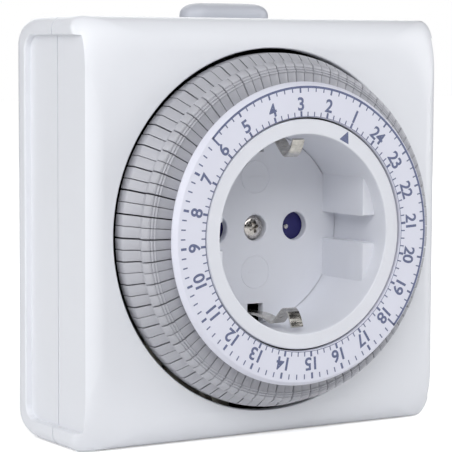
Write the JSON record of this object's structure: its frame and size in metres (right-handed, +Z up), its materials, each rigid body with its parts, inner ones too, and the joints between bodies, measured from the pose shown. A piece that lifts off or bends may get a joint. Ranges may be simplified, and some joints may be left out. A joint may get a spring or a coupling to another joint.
{
  "type": "programmable socket timer",
  "caption": "Square plug-in programmable socket timer: a ring dial of push-in switching tabs turns round a recessed earthed outlet, with an override button on top.",
  "frame": {"origin": "centre of the plug's flat engagement face, on the axis shared by the dial, the outlet and the plug", "axes": "+X to the right seen from the front, +Y out of the plug face towards the wall, +Z up"},
  "size_m": [0.085, 0.0781, 0.0869],
  "materials": {
    "housing_white": "gloss, fine moulded texture",
    "rear_housing_white": "gloss, fine moulded texture",
    "insert_white": "satin",
    "dial_white": "satin, printed in slate",
    "tab_grey": "satin",
    "button_grey": "satin",
    "nickel_plated": "polished",
    "brass": "rolled strip",
    "steel": "drawn",
    "screw_steel": "zinc plated",
    "centre_screw_steel": "zinc plated",
    "shutter_blue": "satin",
    "acetal": "satin",
    "motor_zinc": "zinc plated",
    "lead_black": "satin",
    "lead_blue": "satin",
    "switch_black": "matt"
  },
  "bodies": {
    "housing": {"front_housing": "housing_white", "rear_housing": "rear_housing_white", "case_screw_1": "screw_steel", "case_screw_2": "screw_steel", "case_screw_3": "screw_steel", "case_screw_4": "screw_steel", "socket_insert": "insert_white", "centre_screw": "centre_screw_steel", "shutter_spring": "steel", "live_contact": "brass", "neutral_contact": "brass", "live_pin": "nickel_plated", "neutral_pin": "nickel_plated", "live_busbar": "brass", "switched_busbar": "brass", "earth_strap_top": "nickel_plated", "earth_strap_bottom": "nickel_plated", "earth_bridge": "nickel_plated", "wheel_bearing_ring": "acetal", "gear_axle": "steel", "movement_plate": "steel", "motor_can": "motor_zinc", "motor_lead_neutral": "lead_blue", "motor_lead_live": "lead_black", "button_spring": "steel", "switch_case": "switch_black"},
    "dial": {"dial_face": "dial_white", "tripper_wheel": "acetal"},
    "hour_01": {"tripper_hour_01": "tab_grey"},
    "hour_02": {"tripper_hour_02": "tab_grey"},
    "hour_03": {"tripper_hour_03": "tab_grey"},
    "hour_04": {"tripper_hour_04": "tab_grey"},
    "hour_05": {"tripper_hour_05": "tab_grey"},
    "hour_06": {"tripper_hour_06": "tab_grey"},
    "hour_07": {"tripper_hour_07": "tab_grey"},
    "hour_08": {"tripper_hour_08": "tab_grey"},
    "hour_09": {"tripper_hour_09": "tab_grey"},
    "hour_10": {"tripper_hour_10": "tab_grey"},
    "hour_11": {"tripper_hour_11": "tab_grey"},
    "hour_12": {"tripper_hour_12": "tab_grey"},
    "hour_13": {"tripper_hour_13": "tab_grey"},
    "hour_14": {"tripper_hour_14": "tab_grey"},
    "hour_15": {"tripper_hour_15": "tab_grey"},
    "hour_16": {"tripper_hour_16": "tab_grey"},
    "hour_17": {"tripper_hour_17": "tab_grey"},
    "hour_18": {"tripper_hour_18": "tab_grey"},
    "hour_19": {"tripper_hour_19": "tab_grey"},
    "hour_20": {"tripper_hour_20": "tab_grey"},
    "hour_21": {"tripper_hour_21": "tab_grey"},
    "hour_22": {"tripper_hour_22": "tab_grey"},
    "hour_23": {"tripper_hour_23": "tab_grey"},
    "hour_24": {"tripper_hour_24": "tab_grey"},
    "button": {"override_button": "button_grey"},
    "lever": {"switch_lever": "acetal"},
    "shutter_vane": {"shutter": "shutter_blue"},
    "double_gear": {"reduction_gear": "acetal"},
    "motor_shaft": {"motor_pinion": "acetal"}
  },
  "joints": [
    {"name": "dial_turn", "type": "hinge", "parent": "housing", "child": "dial", "pos_m": [0, -0.0523, 0], "axis": [0, 1, 0], "continuous": true},
    {"name": "hour_01_push", "type": "slide", "parent": "dial", "child": "hour_01", "axis": [0, 1, 0], "range_m": [0, 0.0022]},
    {"name": "hour_02_push", "type": "slide", "parent": "dial", "child": "hour_02", "axis": [0, 1, 0], "range_m": [0, 0.0022]},
    {"name": "hour_03_push", "type": "slide", "parent": "dial", "child": "hour_03", "axis": [0, 1, 0], "range_m": [0, 0.0022]},
    {"name": "hour_04_push", "type": "slide", "parent": "dial", "child": "hour_04", "axis": [0, 1, 0], "range_m": [0, 0.0022]},
    {"name": "hour_05_push", "type": "slide", "parent": "dial", "child": "hour_05", "axis": [0, 1, 0], "range_m": [0, 0.0022]},
    {"name": "hour_06_push", "type": "slide", "parent": "dial", "child": "hour_06", "axis": [0, 1, 0], "range_m": [0, 0.0022]},
    {"name": "hour_07_push", "type": "slide", "parent": "dial", "child": "hour_07", "axis": [0, 1, 0], "range_m": [0, 0.0022]},
    {"name": "hour_08_push", "type": "slide", "parent": "dial", "child": "hour_08", "axis": [0, 1, 0], "range_m": [0, 0.0022]},
    {"name": "hour_09_push", "type": "slide", "parent": "dial", "child": "hour_09", "axis": [0, 1, 0], "range_m": [0, 0.0022]},
    {"name": "hour_10_push", "type": "slide", "parent": "dial", "child": "hour_10", "axis": [0, 1, 0], "range_m": [0, 0.0022]},
    {"name": "hour_11_push", "type": "slide", "parent": "dial", "child": "hour_11", "axis": [0, 1, 0], "range_m": [0, 0.0022]},
    {"name": "hour_12_push", "type": "slide", "parent": "dial", "child": "hour_12", "axis": [0, 1, 0], "range_m": [0, 0.0022]},
    {"name": "hour_13_push", "type": "slide", "parent": "dial", "child": "hour_13", "axis": [0, 1, 0], "range_m": [0, 0.0022]},
    {"name": "hour_14_push", "type": "slide", "parent": "dial", "child": "hour_14", "axis": [0, 1, 0], "range_m": [0, 0.0022]},
    {"name": "hour_15_push", "type": "slide", "parent": "dial", "child": "hour_15", "axis": [0, 1, 0], "range_m": [0, 0.0022]},
    {"name": "hour_16_push", "type": "slide", "parent": "dial", "child": "hour_16", "axis": [0, 1, 0], "range_m": [0, 0.0022]},
    {"name": "hour_17_push", "type": "slide", "parent": "dial", "child": "hour_17", "axis": [0, 1, 0], "range_m": [0, 0.0022]},
    {"name": "hour_18_push", "type": "slide", "parent": "dial", "child": "hour_18", "axis": [0, 1, 0], "range_m": [0, 0.0022]},
    {"name": "hour_19_push", "type": "slide", "parent": "dial", "child": "hour_19", "axis": [0, 1, 0], "range_m": [0, 0.0022]},
    {"name": "hour_20_push", "type": "slide", "parent": "dial", "child": "hour_20", "axis": [0, 1, 0], "range_m": [0, 0.0022]},
    {"name": "hour_21_push", "type": "slide", "parent": "dial", "child": "hour_21", "axis": [0, 1, 0], "range_m": [0, 0.0022]},
    {"name": "hour_22_push", "type": "slide", "parent": "dial", "child": "hour_22", "axis": [0, 1, 0], "range_m": [0, 0.0022]},
    {"name": "hour_23_push", "type": "slide", "parent": "dial", "child": "hour_23", "axis": [0, 1, 0], "range_m": [0, 0.0022]},
    {"name": "hour_24_push", "type": "slide", "parent": "dial", "child": "hour_24", "axis": [0, 1, 0], "range_m": [0, 0.0022]},
    {"name": "override_press", "type": "slide", "parent": "housing", "child": "button", "axis": [0, 0, -1], "range_m": [0, 0.0012], "stiffness_N_per_m": 300, "springref_m": -0.002, "deforming": ["button_spring"]},
    {"name": "lever_tilt", "type": "hinge", "parent": "housing", "child": "lever", "pos_m": [0.0136, -0.0331, 0.0236], "axis": [-1, 0, 0], "range_deg": [0, 17.2]},
    {"name": "shutter_turn", "type": "hinge", "parent": "housing", "child": "shutter_vane", "pos_m": [0, -0.0383, 0], "axis": [0, 1, 0], "range_deg": [0, 40], "stiffness_Nm_per_rad": 0.001, "springref_deg": -17.19},
    {"name": "reduction_turn", "type": "hinge", "parent": "housing", "child": "double_gear", "pos_m": [-0.01026, -0.0403, -0.02819], "axis": [0, 1, 0], "continuous": true},
    {"name": "motor_turn", "type": "hinge", "parent": "housing", "child": "motor_shaft", "pos_m": [-0.0221, -0.0363, -0.02388], "axis": [0, 1, 0], "continuous": true}
  ],
  "couplings": [
    {"joint": "reduction_turn", "follows": "dial_turn", "ratio": -5},
    {"joint": "motor_turn", "follows": "dial_turn", "ratio": 16},
    {"joint": "lever_tilt", "follows": "override_press", "rad_per_m": 247}
  ]
}
